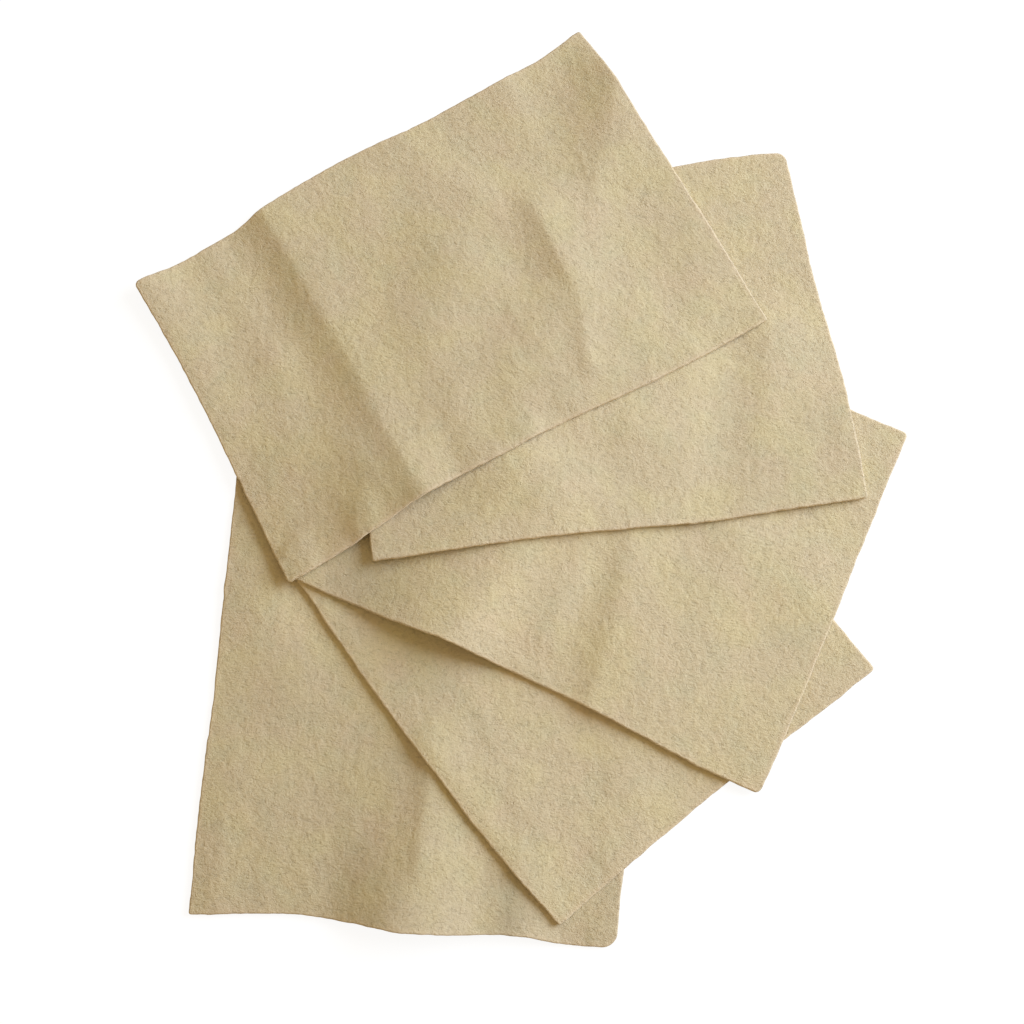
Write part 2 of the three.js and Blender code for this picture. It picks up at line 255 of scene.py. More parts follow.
# The weights that turn even knots into places at shares of the way along them, by cubic curves
# through the knots.
def knotWeights(share, count):
    knots = np.eye(count)
    return np.stack([strayAlong(knots[k], share) for k in range(count)], axis=1)


# Height of the creases at places of the flat leaf. Each is a ridge with its own width on each side
# of its crest, part bell and part peak, that fades out past both ends.
def creaseHeight(leaf, creases, x, y):
    height = np.zeros_like(x)
    roundTop = method["peakRound"]
    for (fromU, fromV), (toU, toV), rises, slopes, bow, crispness in creases:
        startX, startY = fromU * leaf["length"], fromV * leaf["width"]
        wayX, wayY = toU * leaf["length"] - startX, toV * leaf["width"] - startY
        reach = math.hypot(wayX, wayY)
        ahead = ((x - startX) * wayX + (y - startY) * wayY) / reach
        share = np.clip(ahead / reach, 0, 1)
        left = ((y - startY) * wayX - (x - startX) * wayY) / reach - 4 * bow * share * (1 - share)
        past = np.maximum(np.maximum(-ahead, ahead - reach), 0)
        across = left / np.where(left > 0, slopes[0], slopes[1])
        fade = past / (0.5 * (slopes[0] + slopes[1]))
        peak = np.exp(roundTop - np.sqrt(roundTop**2 + method["peakSteep"] * across**2))
        ridge = (1 - crispness) * np.exp(-(across**2)) + crispness * peak
        height += (rises[0] * (1 - share) + rises[1] * share) * ridge * np.exp(-(fade**2))
    return height


# How much lighter or darker the leather is painted at places of the flat leaf, as painted light and shade:
# the leaf's tone for the light it gets, and a few soft round patches.
def paintedShadingAt(leaf, x, y):
    tone = np.full_like(x, leaf["tone"])
    for (shareU, shareV), (alongU, alongV), amount in leaf["paintedPatches"]:
        offX = (x - shareU * leaf["length"]) / (alongU * mm)
        offY = (y - shareV * leaf["width"]) / (alongV * mm)
        tone += amount * np.exp(-(offX**2) - offY**2)
    return tone


# The highest top face over each cell of a raster on the table, grown by one cell all round.
class Pile:
    def __init__(self, low, high):
        self.low = low
        self.count = np.ceil((high - low) / leather["pileCell"]).astype(int) + 3
        self.tops = np.zeros((self.count[1], self.count[0]))

    def cells(self, x, y):
        column = ((x - self.low[0]) / leather["pileCell"]).astype(int) + 1
        line = ((y - self.low[1]) / leather["pileCell"]).astype(int) + 1
        return np.clip(line, 0, self.count[1] - 1), np.clip(column, 0, self.count[0] - 1)

    def add(self, x, y, z):
        np.maximum.at(self.tops, self.cells(x, y), z)

    def under(self, x, y):
        grown = self.tops
        for axis in (0, 1):
            grown = np.maximum(grown, np.maximum(np.roll(grown, 1, axis), np.roll(grown, -1, axis)))
        return grown[self.cells(x, y)]


# The values within a reach of each place along one axis, the outermost ones repeated past the end.
def windowsAlong(values, reach, axis):
    margins = [(0, 0), (0, 0)]
    margins[axis] = (reach, reach)
    padded = np.pad(values, margins, mode="edge")
    return np.lib.stride_tricks.sliding_window_view(padded, 2 * reach + 1, axis=axis)


# A smooth lift that is nowhere less than what is missing: each place takes the largest missing
# height within the spread, and then the mean of its neighbours within the same spread.
def smoothLift(missing):
    reach = int(round(leather["liftSpread"] / leather["cell"]))
    lift = np.maximum(missing, 0)
    for axis in (0, 1):
        lift = windowsAlong(lift, reach, axis).max(axis=-1)
    bell = np.cos(np.linspace(-0.5 * np.pi, 0.5 * np.pi, 2 * reach + 1)) ** 2
    bell /= bell.sum()
    for axis in (0, 1):
        lift = windowsAlong(lift, reach, axis) @ bell
    return lift


# The lie of a solid's top face over the grid: read at even knots, with smooth curves in between.
def lieOnGrid(leaf, shareU, shareV, shift):
    length, width = leaf["length"], leaf["width"]
    knotsU = int(round(length / leather["lieCell"])) + 1
    knotsV = int(round(width / leather["lieCell"])) + 1
    x, y = np.meshgrid(np.linspace(0, length, knotsU), np.linspace(0, width, knotsV))
    planX, planY = planPlaces(leaf, x, y, False)
    lie = lieOfSolid(leaf, planX + shift[0], planY + shift[1], shift)
    return knotWeights(shareV, knotsV) @ lie @ knotWeights(shareU, knotsU).T


# The nap's relief: noise whose grains are longer along the way that the nap is brushed, an angle in
# the leaf's own frame.
def napRelief(leaf, x, y):
    way = math.radians(leaf["napWay"])
    along = (x * math.cos(way) + y * math.sin(way)) / leather["napStretch"]
    across = y * math.cos(way) - x * math.sin(way)
    nap = np.zeros_like(x)
    for number, (size, height) in enumerate(leather["nap"]):
        nap += height * softNoise(along, across, size, seedOf(leaf, "nap", number))
    return nap


# The grid of a leaf's top face: its places in the plan, the heights of the top face and of the
# underside, the nap's relief, the nearness to the cut edge, and the tone with its painted light and shade.
def leafSurface(leaf, pile):
    length, width = leaf["length"], leaf["width"]
    step = leather["undersideStep"]
    columns = step * int(round(length / leather["cell"] / step)) + 1
    rows = step * int(round(width / leather["cell"] / step)) + 1
    shareU, shareV = np.linspace(0, 1, columns), np.linspace(0, 1, rows)
    x, y = np.meshgrid(shareU * length, shareV * width)
    planX, planY = planPlaces(leaf, x, y, True)

    # the outline is set on the solid by the middles of their boxes
    low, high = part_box(leaf["node"])
    middle = (np.array(low) + np.array(high)) / 2
    edgeX, edgeY = planPlaces(leaf, x, y, False)
    shiftX = middle[0] - (edgeX.min() + edgeX.max()) / 2
    shiftY = middle[1] - (edgeY.min() + edgeY.max()) / 2
    planX, planY = planX + shiftX, planY + shiftY

    lie = lieOnGrid(leaf, shareU, shareV, (shiftX, shiftY))
    lie += creaseHeight(leaf, leaf["creases"], x, y)
    for number, (size, height) in enumerate(leather["unevenness"]):
        lie += height * softNoise(x, y, size, seedOf(leaf, "unevenness", number))

    # the underside keeps the gap above what is already in the pile
    under = lie - leather["thickness"]
    floor = pile.under(planX, planY) + np.where(pile.tops.max() > 0, leather["gap"], 0)
    lift = smoothLift(floor - under)
    under = under + lift
    print(leaf["name"], "lifted by at most", round(float(lift.max()) / mm, 2), "mm")

    nap = napRelief(leaf, x, y)
    top = under + leather["thickness"] + nap
    pile.add(planX, planY, top)

    inward = np.minimum(np.minimum(x, length - x), np.minimum(y, width - y))
    cutEdge = np.clip(1 - inward / leather["edgeBand"], 0, 1) ** 2
    paintedShading = paintedShadingAt(leaf, x, y)
    return dict(planX=planX, planY=planY, top=top, under=under, nap=nap, cutEdge=cutEdge, paintedShading=paintedShading)


# A closed leaf: the fine top face, a rim of two rings that bulges halfway down, and an underside
# of larger cells, whose border cells take in every point of the rim.
def leafMesh(leaf, surface):
    rows, columns = surface["top"].shape
    step = leather["undersideStep"]
    topCount = rows * columns
    index = np.arange(topCount).reshape(rows, columns)
    border = np.concatenate([index[0, :-1], index[:-1, -1], index[-1, :0:-1], index[:0:-1, 0]])
    planX, planY = surface["planX"].ravel(), surface["planY"].ravel()
    top, under = surface["top"].ravel(), surface["under"].ravel()
    topFaces = np.stack([index[:-1, :-1], index[:-1, 1:], index[1:, 1:], index[1:, :-1]], -1).reshape(-1, 4)

    ringCount = len(border)
    nextX = planX[np.roll(border, -1)] - planX[np.roll(border, 1)]
    nextY = planY[np.roll(border, -1)] - planY[np.roll(border, 1)]
    stretch = np.hypot(nextX, nextY) + method["tiny"]
    middleRing = np.stack([
        planX[border] + leather["bulge"] * nextY / stretch,
        planY[border] - leather["bulge"] * nextX / stretch,
        (top[border] + under[border]) / 2,
    ], -1)
    lowerRing = np.stack([planX[border], planY[border], under[border]], -1)
    inner = index[step:-1:step, step:-1:step]
    innerPoints = np.stack([planX[inner], planY[inner], under[inner]], -1).reshape(-1, 3)
    points = np.concatenate([np.stack([planX, planY, top], -1), middleRing, lowerRing, innerPoints])

    ringStart = np.array([topCount, topCount + ringCount])
    here = np.arange(ringCount)
    after = np.roll(here, -1)
    rimFaces = np.concatenate([
        np.stack([border, ringStart[0] + here, ringStart[0] + after, np.roll(border, -1)], -1),
        np.stack([ringStart[0] + here, ringStart[1] + here, ringStart[1] + after, ringStart[0] + after], -1),
    ])

    # numbers of the lower ring's points by their place in the grid, and of the inner points
    lower = np.full(topCount, -1)
    lower[border] = ringStart[1] + here
    lower[inner.ravel()] = ringStart[1] + ringCount + np.arange(inner.size)
    lower = lower.reshape(rows, columns)
    coarse = lower[::step, ::step]
    quads = np.stack([coarse[:-1, :-1], coarse[1:, :-1], coarse[1:, 1:], coarse[:-1, 1:]], -1)
    underFaces = quads[1:-1, 1:-1].reshape(-1, 4).tolist()
    underFaces += sideCells(lower, step) + cornerCells(lower, step)

    mesh = bpy.data.meshes.new(leaf["name"])
    mesh.from_pydata(points.tolist(), [], topFaces.tolist() + rimFaces.tolist() + underFaces)
    smooth = np.ones(len(mesh.polygons), bool)
    smooth[len(topFaces) : len(topFaces) + len(rimFaces)] = False
    mesh.polygons.foreach_set("use_smooth", smooth)

    # points below the top face have the values of the ones above them; wall is 1 on the rim's rings
    above = np.concatenate([index.ravel(), border, border, inner.ravel()])
    values = {name: surface[name].ravel()[above] for name in ("nap", "cutEdge", "paintedShading")}
    values["wall"] = np.zeros(len(points))
    values["wall"][topCount : topCount + 2 * ringCount] = 1
    for name, given in values.items():
        attribute = mesh.attributes.new(name, "FLOAT", "POINT")
        attribute.data.foreach_set("value", given.astype(np.float32))
    mesh.update()
    return mesh


# The underside's cells along the four sides, corners left out: each has the rim's points on its
# outer side and two inner points.
def sideCells(lower, step):
    cells = []
    for grid in (lower, lower.T[:, ::-1], lower[::-1, ::-1], lower.T[::-1, :]):
        outer = grid[0]
        inner = grid[step, ::step]
        starts = np.arange(step, grid.shape[1] - 1 - step, step)
        rim = np.stack([outer[starts + k] for k in range(step, -1, -1)], -1)
        far = np.stack([inner[starts // step], inner[starts // step + 1]], -1)
        cells += np.concatenate([rim, far], -1).tolist()
    return cells


# The underside's four corner cells: the rim's points on two sides and one inner point.
def cornerCells(lower, step):
    cells = []
    for grid in (lower, lower.T[:, ::-1], lower[::-1, ::-1], lower.T[::-1, :]):
        cells.append(grid[0, step:0:-1].tolist() + grid[: step + 1, 0].tolist() + [int(grid[step, step])])
    return cells


# The value of a socket, so that sums and products of values are written as such.
class Signal:
    def __init__(self, kit, socket):
        self.kit = kit
        self.socket = socket

    def __add__(self, other):
        return self.kit.maths("ADD", self, other)

    def __radd__(self, other):
        return self.kit.maths("ADD", other, self)

    def __mul__(self, other):
        return self.kit.maths("MULTIPLY", self, other)

    def __rmul__(self, other):
        return self.kit.maths("MULTIPLY", other, self)


# Adds nodes to one material or world.
class NodeKit:
    def __init__(self, owner):
        owner.use_nodes = True
        self.tree = owner.node_tree
        self.tree.nodes.clear()

    # A node of a type: its settings are set first, then its sockets take values or links.
    def node(self, kind, settings, inputs):
        made = self.tree.nodes.new(kind)
        for name, value in settings.items():
            setattr(made, name, value)
        for name, value in inputs.items():
            if isinstance(value, Signal):
                self.tree.links.new(value.socket, made.inputs[name])
            else:
                made.inputs[name].default_value = value
        return made

    def signal(self, made, output):
        return Signal(self, made.outputs[output])

    def maths(self, operation, first, second):
        return self.signal(self.node("ShaderNodeMath", {"operation": operation}, {0: first, 1: second}), 0)

    def mixColour(self, factor, first, second, blend="MIX"):
        settings = {"data_type": "RGBA", "blend_type": blend, "clamp_factor": True}
        return self.signal(self.node("ShaderNodeMix", settings, {0: factor, 6: first, 7: second}), 2)

    def noise(self, place, size, detail, roughness=0.5):
        inputs = {"Vector": place, "Scale": 1 / size, "Detail": detail, "Roughness": roughness}
        return self.signal(self.node("ShaderNodeTexNoise", {}, inputs), "Fac")

    # A value that the mesh gives at each point.
    def attribute(self, name):
        return self.signal(self.node("ShaderNodeAttribute", {"attribute_name": name}, {}), "Fac")

    # Links the first output of one node to an input of another.
    def join(self, source, target, number):
        self.tree.links.new(source.outputs[0], target.inputs[number])

    # The output node of a type, with one of two shaders by a factor.
    def outputMix(self, kind, factor, first, second):
        mixed = self.node("ShaderNodeMixShader", {}, {0: factor})
        self.join(first, mixed, 1)
        self.join(second, mixed, 2)
        self.join(mixed, self.node(kind, {}, {}), 0)

    def between(self, value, low, high):
        inputs = {"Value": value, "From Min": low, "From Max": high}
        return self.signal(self.node("ShaderNodeMapRange", {"clamp": True}, inputs), 0)


# Colours of the leather, linear, and the shares that its shade is made of.
suede = dict(
    straw=(0.585, 0.482, 0.305, 1),
    yellow=(0.600, 0.502, 0.292, 1),
    peach=(0.622, 0.478, 0.315, 1),
    sage=(0.545, 0.487, 0.305, 1),
    # colour, size and detail of the clouds, the noise where they begin and are full, strength
    clouds=[
        ("yellow", 14.3 * mm, 2, 0.42, 0.66, 1.0),
        ("sage", 8.8 * mm, 3, 0.50, 0.74, 0.5),
        ("peach", 11.0 * mm, 3, 0.52, 0.74, 0.35),
    ],
    cloudShift=(0.31, 0.17),  # times a leaf's seed, so that no two leaves have the same clouds
    napStretch=1.5,
    # size, detail and roughness of the noise
    grain=(0.65 * mm, 3, 0.6),
    fibre=(0.30 * mm, 2, 0.6),
    pit=(1.0 * mm, 4, 0.7),
    pitRange=(0.36, 0.46),
    edgeWarmth=0.55,
    # painted light: a slightly lighter band along the cut edge and a lighter rim wall
    paintedEdgeLight=0.06,
    paintedRimLight=0.15,
    ground=0.80,
    # painted shade and light of the nap: lighter where its grain, pits and relief stand high, darker between
    # them
    grainLight=0.36,
    pitLight=0.10,
    reliefLight=300.0,  # per metre of the nap's relief
    fibreRise=0.5,
    pitRise=0.25,
    bumpDepth=0.26 * mm,
    roughness=0.95,
    specular=0.15,
    sheen=0.12,
    sheenRoughness=0.6,
)


# Napped suede: straw with soft clouds of yellow, peach and sage, and warmer along the cut edge.
# Painted shade makes it darker between the nap's grains and in its hollows. Painted light makes it lighter
# on the nap's tops, slightly lighter along the cut edge and on the rim, and the leaf's tone and patches are
# painted light and shade.
def suedeMaterial(leaf):
    material = bpy.data.materials.new("suede_" + leaf["name"])
    kit = NodeKit(material)
    place = kit.signal(kit.node("ShaderNodeTexCoord", {}, {}), "Object")
    shiftX, shiftY = suede["cloudShift"]
    shift = {"Vector": place, "Location": (shiftX * leaf["seed"], shiftY * leaf["seed"], 0)}
    cloudPlace = kit.signal(kit.node("ShaderNodeMapping", {}, shift), 0)
    brushed = math.radians(leaf["turn"] + leaf["napWay"])
    turned = {"Vector": cloudPlace, "Rotation": (0, 0, -brushed), "Scale": (1 / suede["napStretch"], 1, 1)}
    napPlace = kit.signal(kit.node("ShaderNodeMapping", {}, turned), 0)

    colour = suede["straw"]
    for name, size, detail, begins, full, strength in suede["clouds"]:
        cloud = kit.between(kit.noise(cloudPlace, size, detail), begins, full)
        colour = kit.mixColour(cloud * strength, colour, suede[name])
    cutEdge = kit.attribute("cutEdge")
    colour = kit.mixColour(cutEdge * suede["edgeWarmth"], colour, suede["peach"])

    grain = kit.noise(napPlace, *suede["grain"])
    fibre = kit.noise(napPlace, *suede["fibre"])
    pit = kit.between(kit.noise(napPlace, *suede["pit"]), *suede["pitRange"])
    # painted light on the rim's wall
    paintedRimLight = suede["paintedRimLight"] * kit.attribute("wall")
    # painted light and shade: the leaf's tone and patches, with painted light along the cut edge and on the
    # rim
    tone = kit.attribute("paintedShading") + suede["paintedEdgeLight"] * cutEdge + paintedRimLight
    # painted shade between the nap's grains and in its low relief, painted light on their tops
    texture = suede["ground"] + suede["grainLight"] * grain + suede["pitLight"] * pit
    shade = tone * (texture + kit.attribute("nap") * suede["reliefLight"])
    grey = kit.signal(kit.node("ShaderNodeCombineColor", {}, {0: shade, 1: shade, 2: shade}), 0)
    colour = kit.mixColour(1.0, colour, grey, "MULTIPLY")

    height = grain + suede["fibreRise"] * fibre + suede["pitRise"] * pit
    bumpInputs = {"Height": height, "Distance": suede["bumpDepth"], "Strength": 1.0}
    bump = kit.signal(kit.node("ShaderNodeBump", {}, bumpInputs), 0)
    shader = kit.node("ShaderNodeBsdfPrincipled", {}, {
        "Base Color": colour,
        "Normal": bump,
        "Roughness": suede["roughness"],
        "Specular IOR Level": suede["specular"],
        "Sheen Weight": suede["sheen"],
        "Sheen Roughness": suede["sheenRoughness"],
    })
    kit.join(shader, kit.node("ShaderNodeOutputMaterial", {}, {}), 0)
    return material


# Leaves, the lowest first. Each frame starts at the gathered corner, x along the length and y
# across the width. Places are shares of the length and the width. Strays, radii, reaches, heights
# and widths are in millimetres, and angles in degrees.
# cornerShares: where the four corners lie. strays: how far each side strays outwards at even steps.
# radii: how round the corners are. napWay: the way the nap is brushed. tone: how light the leaf is
# painted, a painted shade for the light that falls on it. patches: painted light and shade, where it is
# painted lighter or darker by a little: place, reach along both sides, and by how much.
# pressed: how far the solid was lowered when it was pressed flat on the table. solidFolds: the folds
# that the solid has, which lie on its settled shape. creases: all that the leather has. Both give
# from, to, height at both ends, width of the slopes on the left and on the right, how far the crest
# bows to the left, and how crisp it is.
leafOneBottom = dict(
    name="chamois_1_bottom", node="leaf_1_bottom", body="leaf_1", seed=11,
    length=149 * mm, width=116 * mm, turn=-93.9, napWay=0, tone=0.93,
    cornerShares=[[0, 0], [1, 0], [1.01, 0.994], [0, 1.007]],
    strays=dict(
        near=[1, 1.4, 1, 0.7, 0.9, 0.4],
        end=[0.5, -0.9, -1.9, -1, 0.4, 0, -1.1, 0, 0],
        far=[0, 0.8, 1.4, 1.4, 0],
        start=[0, 0],
    ),
    radii=[2, 0.8, 4.2, 1],
    paintedPatches=[
        ((0.93, 0.36), (24, 12), -0.04),
        ((0.97, 0.745), (12, 4), -0.2),
        ((0.45, 0.14), (14, 14), 0.05),
    ],
    pressed=0.5,
    solidFolds=[
        ((0.72, 0.55), (1.02, 0.5), (0.8, 7.4), (20, 18), 0, 0),
        ((0.92, 0.82), (1.02, 0.83), (0.8, 2.4), (12, 8), 0, 0),
        ((0.4, 0.22), (0.56, 0.28), (1, 1), (14, 14), 0, 0),
        ((0.78, 0.08), (0.98, 0.08), (0.6, 1), (20, 8), 0, 0),
    ],
    creases=[
        ((0.69, 0.54), (1.02, 0.515), (1.2, 9.2), (24, 18), 0, 0),
        ((0.7, 0.53), (0.86, 0.528), (1.2, 0.9), (9, 4), 0, 0.4),
        ((0.9, 0.8), (1.02, 0.805), (0.6, 2), (8, 9), 0, 0.2),
        ((0.4, 0.08), (0.54, 0.2), (1, 0.8), (14, 14), 0, 0),
        ((0.78, 0.08), (0.98, 0.08), (0.5, 0.9), (24, 7), 0, 0),
    ],
)
leafTwoLower = dict(
    name="chamois_2_lower", node="leaf_2_lower", body="leaf_2", seed=23,
    length=131 * mm, width=112.8 * mm, turn=-52.1, napWay=-40, tone=1,
    cornerShares=[[0, 0], [1, 0], [1, 1], [0, 1]],
    strays=dict(
        near=[0, 0.3, 1.1, 1.7, 2, 1.85, 1.85, 1.1, 0],
        end=[0, -0.7, -1, -0.1, 0.4],
        far=[0, 0, 0, 0.5, 0.4],
        start=[0, 0],
    ),
    radii=[1, 0.6, 1, 1],
    paintedPatches=[
        ((0.45, 0.1), (26, 10), -0.07),
        ((0.15, 0.12), (12, 10), -0.06),
        ((0.84, 0.12), (20, 14), -0.04),
    ],
    pressed=0,
    solidFolds=[
        ((0.5, -0.02), (0.54, 0.16), (1.8, 0.5), (14, 10), 0, 0),
        ((0.82, -0.02), (0.84, 0.16), (1.8, 0.5), (12, 10), 0, 0),
        ((0.63, 0.4), (0.79, 0.62), (0.8, 1), (16, 16), 0, 0),
        ((0.08, 0), (0.92, 0), (1.2, 1.2), (14, 14), 0, 0),
    ],
    creases=[
        ((0.48, -0.02), (0.52, 0.16), (1.5, 0.5), (14, 11), 0, 0),
        ((0.91, -0.02), (0.91, 0.16), (2.4, 0.7), (10, 10), 0, 0),
        ((0.63, 0.4), (0.79, 0.62), (0.6, 0.7), (16, 16), 0, 0),
        ((0.08, 0), (0.9, 0), (0.9, 0.2), (14, 14), 0, 0),
    ],
)
leafThreeMiddle = dict(
    name="chamois_3_middle", node="leaf_3_middle", body="leaf_3", seed=37,
    length=145.2 * mm, width=113.5 * mm, turn=-24.3, napWay=-65, tone=1,
    cornerShares=[[0, 0], [1, 0], [0.995, 1.006], [0, 1]],
    strays=dict(
        near=[-1.2, -1.2, -1.6, -2.4, -2.3, -2, -0.9, 0.2, 0],
        end=[-0.6, 0.2, 0.4, 0.7, 0.9],
        far=[0, 0],
        start=[0, 0],
    ),
    radii=[1, 1.8, 1.4, 1],
    paintedPatches=[
        ((0.15, 0.05), (16, 12), -0.17),
        ((0.4, 0.15), (14, 20), 0.04),
    ],
    pressed=0,
    solidFolds=[
        ((0.2, -0.03), (0.26, 0.3), (3, 1), (14, 12), 0, 0),
        ((0.34, -0.03), (0.37, 0.34), (5, 1.8), (18, 16), 0, 0),
        ((0.62, -0.02), (0.58, 0.46), (1.8, 1.8), (8, 12), 0, 0),
        ((0.8, 0.02), (0.775, 0.55), (1, 1), (11, 14), 0, 0),
        ((0.12, 0), (0.42, 0), (0.6, 0.8), (14, 14), 0, 0),
    ],
    creases=[
        ((0.325, -0.03), (0.405, 0.4), (7.4, 4.4), (25, 16), 0, 0.15),
        ((0.635, -0.02), (0.575, 0.46), (1.6, 1.8), (8, 12), -1.5, 0.4),
        ((0.505, 0.12), (0.505, 0.42), (0.4, 0.9), (8, 7), 0, 0.4),
        ((0.7, -0.02), (0.72, 0.4), (0.4, 0.3), (12, 8), 0, 0),
        ((0.8, 0.02), (0.775, 0.55), (0.9, 1), (11, 14), 0, 0.2),
    ],
)
leafFourUpper = dict(
    name="chamois_4_upper", node="leaf_4_upper", body="leaf_4", seed=41,
    length=143.5 * mm, width=111 * mm, turn=7.9, napWay=80, tone=1,
    cornerShares=[[0, 0], [1, 0], [0.983, 1.003], [-0.003, 0.995]],
    strays=dict(
        near=[0, 0, 0, 0.5, 1.2, 0.5, 0],
        end=[0, 0.5, 0.8, 0.8, -0.1, -0.7, -0.7, -0.8, -0.9],
        far=[0, 0, 0, 0, 0, 0.2, 0.5, 1.1, 0.5],
        start=[0, 0],
    ),
    radii=[0.6, 0.6, 3, 1],
    paintedPatches=[
        ((0.02, 0.05), (14, 10), -0.08),
        ((0.17, 0.15), (18, 6), -0.05),
        ((0.37, 0.07), (10, 12), 0.05),
        ((0.52, 0.09), (5, 12), -0.06),
        ((0.85, 0.1), (34, 26), -0.05),
    ],
    pressed=0,
    solidFolds=[
        ((0, 0.125), (0.34, 0.215), (1.6, 1), (10, 9), 0, 0),
        ((0.35, -0.05), (0.42, 0.3), (1.4, 1.4), (30, 13), 0, 0),
        ((0.6, -0.02), (0.68, 0.4), (1, 1), (11, 13), 0, 0),
        ((0.775, 0.02), (0.875, 0.46), (1.2, 1.8), (10, 15), 0, 0),
    ],
    creases=[
        ((0.35, -0.05), (0.42, 0.3), (2.9, 2.3), (40, 16), 0, 0.15),
        ((0, 0.125), (0.34, 0.215), (1.6, 0.9), (8, 9), 0, 0.4),
        ((0.6, -0.02), (0.68, 0.4), (1.1, 1.4), (11, 13), 0, 0.2),
        ((0.775, 0.02), (0.875, 0.46), (1.1, 1.7), (10, 15), 0, 0.2),
        ((0.87, -0.02), (0.87, 0.12), (0.5, 0.3), (8, 8), 0, 0.3),
        ((0.305, 0), (0.3, 0.2), (1, 1.4), (13, 13), 0, 0),
        ((0.52, -0.02), (0.52, 0.15), (0.6, 0.3), (4, 10), 0, 0.6),
        ((-0.02, -0.03), (0, 0.12), (1, 0.6), (14, 12), 0, 0),
        ((0.03, 0), (0.2, 0), (0.3, 0.8), (10, 10), 0, 0),
    ],
)
leafFiveTop = dict(
    name="chamois_5_top", node="leaf_5_top", body="leaf_5", seed=59,
    length=160.6 * mm, width=107 * mm, turn=29.9, napWay=85, tone=0.97,
    cornerShares=[[0, 0], [1, 0], [1, 1.042], [0.021, 0.964]],
    strays=dict(
        near=[0, -0.5, -2.1, -1.9, -1.6, -0.2, 0.3, 0],
        end=[0, 0.5, 1, 1.4, 1.7, 1.8, 1.9, 1.8, 1.4],
        far=[1, 0.1, 0.5, 2, 2.7, 2.3, 0.7, -0.1, -0.5, -0.9, 0.9],
        start=[0, -0.2, -0.7, -0.4, 0.8],
    ),
    radii=[1.4, 0.6, 0.8, 1.6],
    paintedPatches=[((0.25, 0.06), (9, 14), -0.06)],
    pressed=0,
    solidFolds=[
        ((0.285, -0.02), (0.275, 1.02), (2, 3), (10, 26), 0, 0),
        ((0.14, 0.04), (0.17, 0.28), (1.2, 1), (18, 9), 0, 0),
        ((-0.02, 0.3), (-0.02, 1.02), (1.2, 3.2), (26, 26), 0, 0),
        ((0.155, 0.6), (0.155, 1.02), (0.6, 1.2), (8, 7), 0, 0),
        ((0.47, 0.42), (0.54, 0.74), (1.2, 1), (15, 9), 0, 0),
        ((0.51, -0.02), (0.55, 0.34), (1, 1), (8, 8), 0, 0),
        ((0.68, 0.1), (0.735, 0.67), (1, 2.2), (9, 17), 0, 0),
        ((0.86, 0.58), (1.02, 0.82), (1.2, 5), (17, 30), 0, 0),
        ((0, 0.04), (0.02, 0.44), (2.4, 1.6), (14, 14), 0, 0),
        ((0.02, 0.6), (0.22, 0.62), (1.2, 1), (13, 14), 0, 0),
    ],
    creases=[
        ((0.284, -0.02), (0.277, 1.02), (2.2, 3), (9, 26), 0, 0.5),
        ((-0.02, 0.3), (-0.02, 1.02), (1.2, 3.8), (26, 26), 0, 0),
        ((0.288, -0.05), (0.282, 0.2), (3.4, 0.6), (12, 15), 0, 0.2),
        ((0.16, -0.03), (0.26, 0.4), (0.9, 0.4), (24, 14), 0, 0),
        ((0.155, 0.16), (0.17, 0.3), (0.3, 1), (16, 10), 0, 0),
        ((0.155, 0.6), (0.155, 1.02), (0.5, 1.2), (8, 7), 0, 0.2),
        ((0.105, 0.33), (0.158, 0.57), (0.5, 0.6), (9, 7), 0, 0.2),
        ((0, 0.62), (0, 1.02), (0.6, 2.6), (13, 13), 0, 0),
        ((0.31, 0.55), (0.31, 1.02), (0.3, 0.8), (16, 40), 0, 0),
        ((0.405, 0.25), (0.42, 0.46), (0.5, 0.4), (9, 7), 0, 0.2),
        ((0.47, 0.42), (0.54, 0.74), (1.3, 0.9), (15, 9), 0, 0.1),
        ((0.545, 0.18), (0.56, 0.52), (0.7, 0.5), (12, 8), 0, 0.2),
        ((0.518, 0.04), (0.54, 0.2), (1.3, 1), (8, 8), 0, 0.5),
        ((0.672, 0.14), (0.712, 0.3), (1.2, 0.9), (5, 9), 0, 0.6),
        ((0.718, 0.42), (0.724, 0.56), (2.6, 2.6), (9, 15), 0, 0.6),
        ((0.63, 0.74), (0.575, 0.96), (0.6, 0.5), (9, 7), 0, 0.2),
        ((0.65, 0.6), (0.675, 0.72), (0.3, 0.3), (6, 6), 0, 0.3),
        ((0.86, 0.58), (1.02, 0.82), (1.2, 5), (17, 30), 0, 0.5),
        ((0.79, 0.7), (0.815, 1.02), (0.2, 0.9), (18, 5), 0, 0.3),
        ((0.8, 0.42), (0.86, 0.6), (0.2, 0.5), (7, 7), 0, 0.4),
        ((0.9, 0.1), (0.97, 0.3), (0.4, 0.4), (10, 10), 0, 0),
        ((0, 0.04), (0.02, 0.44), (0.5, 0.4), (14, 14), 0, 0),
        ((-0.002, 0), (-0.002, 0.43), (0.5, 0.3), (3, 3.5), 0, 0.3),
        ((0.055, 0.02), (0.055, 0.42), (0.3, 0.2), (4, 9), 0, 0.3),
        ((0.02, 0.6), (0.22, 0.62), (0.8, 0.7), (13, 14), 0, 0),
    ],
)
leaves = [leafOneBottom, leafTwoLower, leafThreeMiddle, leafFourUpper, leafFiveTop]

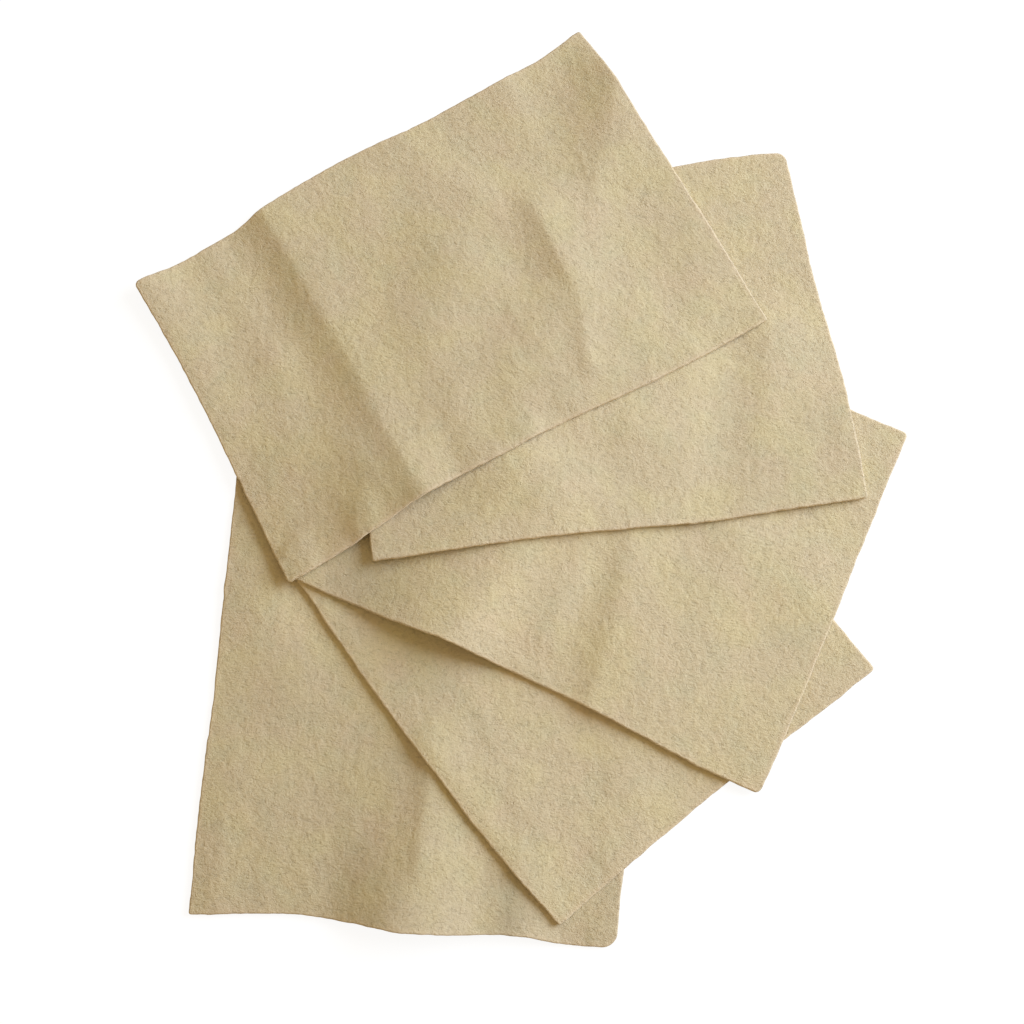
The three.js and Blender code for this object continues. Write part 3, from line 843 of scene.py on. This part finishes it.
low, high = cadBounds
spare = 5 * mm
pile = Pile(np.array(low)[:2] - spare, np.array(high)[:2] + spare)
for order, leaf in enumerate(leaves):
    # from millimetres to metres
    leaf["strays"] = {side: np.array(steps, float) * mm for side, steps in leaf["strays"].items()}
    leaf["radii"] = [radius * mm for radius in leaf["radii"]]
    leaf["pressed"] *= mm
    for name in ("solidFolds", "creases"):
        leaf[name] = [
            (start, end, np.array(rises) * mm, np.array(slopes) * mm, bow * mm, crispness)
            for start, end, rises, slopes, bow, crispness in leaf[name]
        ]
    surface = leafSurface(leaf, pile)
    piece = bpy.data.objects.new(leaf["name"], leafMesh(leaf, surface))
    bpy.context.scene.collection.objects.link(piece)
    piece.data.materials.append(suedeMaterial(leaf))
    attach(piece, leaf["body"])
    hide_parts(leaf["node"])
    print(leaf["name"], "faces", len(piece.data.polygons))

# Floor: white to the camera, and darker where the leaves keep the light off it.
studio = dict(
    floorSize=3.0,
    floorDrop=0.05 * mm,  # keeps the floor clear of the undersides
    tableColour=(0.5, 0.5, 0.5, 1),
    floorColour=(0.17, 0.17, 0.17, 1),
    floorGlow=0.895,
    white=(1, 1, 1, 1),
    ambient=0.42,
    roomColour=(1.22, 0.965, 0.57, 1),  # warm walls around, cooler window
    lampPlace=(1.098, 0.400, 0.570),
    lampSize=1.05,
    lampPower=23.0,
    lampColour=(0.853, 1.023, 1.321),
)


# The sum of the light path's tests for rays that show a surface as the camera sees it.
def seenRay(kit):
    path = kit.node("ShaderNodeLightPath", {}, {})
    return (
        kit.signal(path, "Is Camera Ray")
        + kit.signal(path, "Is Glossy Ray")
        + kit.signal(path, "Is Transmission Ray")
    )


def makeFloor():
    half = studio["floorSize"] / 2
    drop = -studio["floorDrop"]
    mesh = bpy.data.meshes.new("floor")
    corners = [(-half, -half, drop), (half, -half, drop), (half, half, drop), (-half, half, drop)]
    mesh.from_pydata(corners, [], [(0, 1, 2, 3)])
    floor = bpy.data.objects.new("floor", mesh)
    bpy.context.scene.collection.objects.link(floor)
    material = bpy.data.materials.new("floor_paper")
    kit = NodeKit(material)
    table = kit.node("ShaderNodeBsdfDiffuse", {}, {"Color": studio["tableColour"]})
    paper = kit.node("ShaderNodeBsdfDiffuse", {}, {"Color": studio["floorColour"]})
    glow = kit.node("ShaderNodeEmission", {}, {"Strength": studio["floorGlow"]})
    lit = kit.node("ShaderNodeAddShader", {}, {})
    kit.join(paper, lit, 0)
    kit.join(glow, lit, 1)
    kit.outputMix("ShaderNodeOutputMaterial", seenRay(kit), table, lit)
    mesh.materials.append(material)


def makeLight():
    world = bpy.data.worlds.new("studio")
    bpy.context.scene.world = world
    kit = NodeKit(world)
    roomInputs = {"Color": studio["roomColour"], "Strength": studio["ambient"]}
    room = kit.node("ShaderNodeBackground", {}, roomInputs)
    white = kit.node("ShaderNodeBackground", {}, {"Color": studio["white"], "Strength": 1.0})
    kit.outputMix("ShaderNodeOutputWorld", seenRay(kit), room, white)
    lamp = bpy.data.lights.new("window", "AREA")
    lamp.shape = "DISK"
    lamp.size = studio["lampSize"]
    lamp.energy = studio["lampPower"]
    lamp.color = studio["lampColour"]
    window = bpy.data.objects.new("window", lamp)
    window.location = studio["lampPlace"]
    bpy.context.scene.collection.objects.link(window)
    away = -window.location.normalized()
    window.rotation_euler = away.to_track_quat("-Z", "Y").to_euler()


# Camera: steep, from the front, with the middle of the picture on the table.
view = dict(
    focal=50.0,
    sensor=36.0,
    elevation=76.0,
    distance=0.4122,
    aim=(-1.696 * mm, -17.531 * mm, 0),
)


def makeCamera():
    data = bpy.data.cameras.new("camera")
    data.lens = view["focal"]
    data.sensor_width = view["sensor"]
    camera = bpy.data.objects.new("camera", data)
    elevation = math.radians(view["elevation"])
    aimX, aimY, aimZ = view["aim"]
    camera.location = (
        aimX,
        aimY - view["distance"] * math.cos(elevation),
        aimZ + view["distance"] * math.sin(elevation),
    )
    camera.rotation_euler = (math.pi / 2 - elevation, 0, 0)
    bpy.context.scene.collection.objects.link(camera)
    bpy.context.scene.camera = camera


makeFloor()
makeLight()
makeCamera()
bpy.context.scene.view_settings.view_transform = "Standard"
print("floor, light and camera made")
